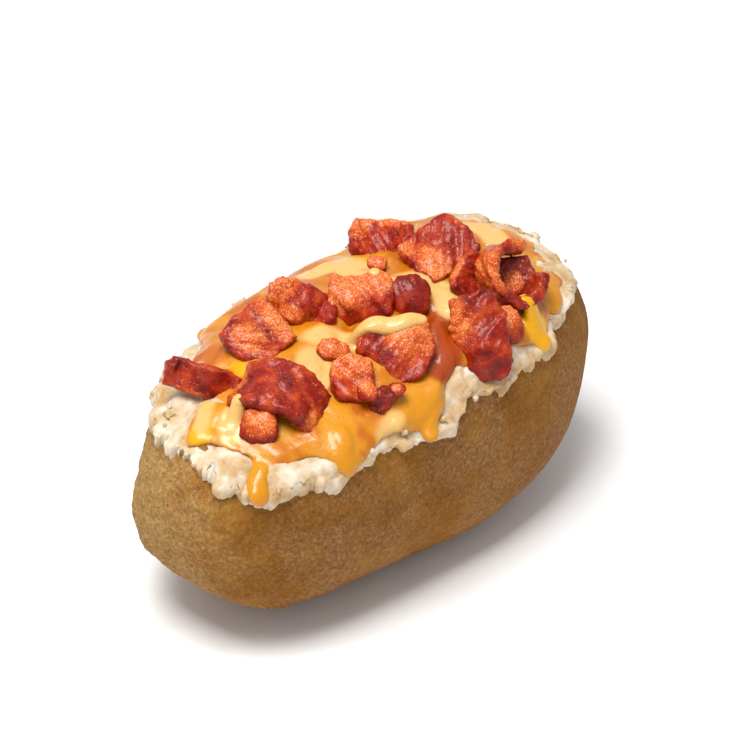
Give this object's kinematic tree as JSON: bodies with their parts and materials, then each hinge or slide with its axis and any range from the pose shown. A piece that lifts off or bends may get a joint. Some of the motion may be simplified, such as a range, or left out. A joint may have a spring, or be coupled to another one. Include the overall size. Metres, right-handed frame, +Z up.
{
  "type": "loaded baked potato",
  "caption": "Whole baked potato split along the top, its flesh fluffed up over the skin, under melted cheese sauce and curled pieces of crisp bacon.",
  "frame": {"origin": "middle of the bounding box, on the surface the potato rests on", "axes": "+X along the potato towards its blunter end, +Y across it, +Z up"},
  "size_m": [0.1312, 0.0722, 0.0756],
  "materials": {
    "russet_skin": "Dry baked russet skin, matte brown with fine grain, small dark specks and lighter worn patches",
    "potato_flesh": "Fluffed cooked potato, matt warm white, crumbly",
    "cheese_sauce": "Melted cheddar sauce, smooth and glossy, pale yellow to deep orange",
    "crisp_bacon": "Crisp fried bacon, deep red lean with paler orange fat, blistered and glistening"
  },
  "bodies": {
    "root": {"potato_jacket": "russet_skin", "fluffed_flesh": "potato_flesh", "cheese_sauce": "cheese_sauce", "bacon_01": "crisp_bacon", "bacon_02": "crisp_bacon", "bacon_03": "crisp_bacon", "bacon_04": "crisp_bacon", "bacon_05": "crisp_bacon", "bacon_06": "crisp_bacon", "bacon_07": "crisp_bacon", "bacon_08": "crisp_bacon", "bacon_09": "crisp_bacon", "bacon_10": "crisp_bacon", "bacon_11": "crisp_bacon", "bacon_12": "crisp_bacon", "bacon_13": "crisp_bacon", "bacon_14": "crisp_bacon", "bacon_15": "crisp_bacon", "bacon_16": "crisp_bacon", "bacon_17": "crisp_bacon"}
  },
  "joints": []
}
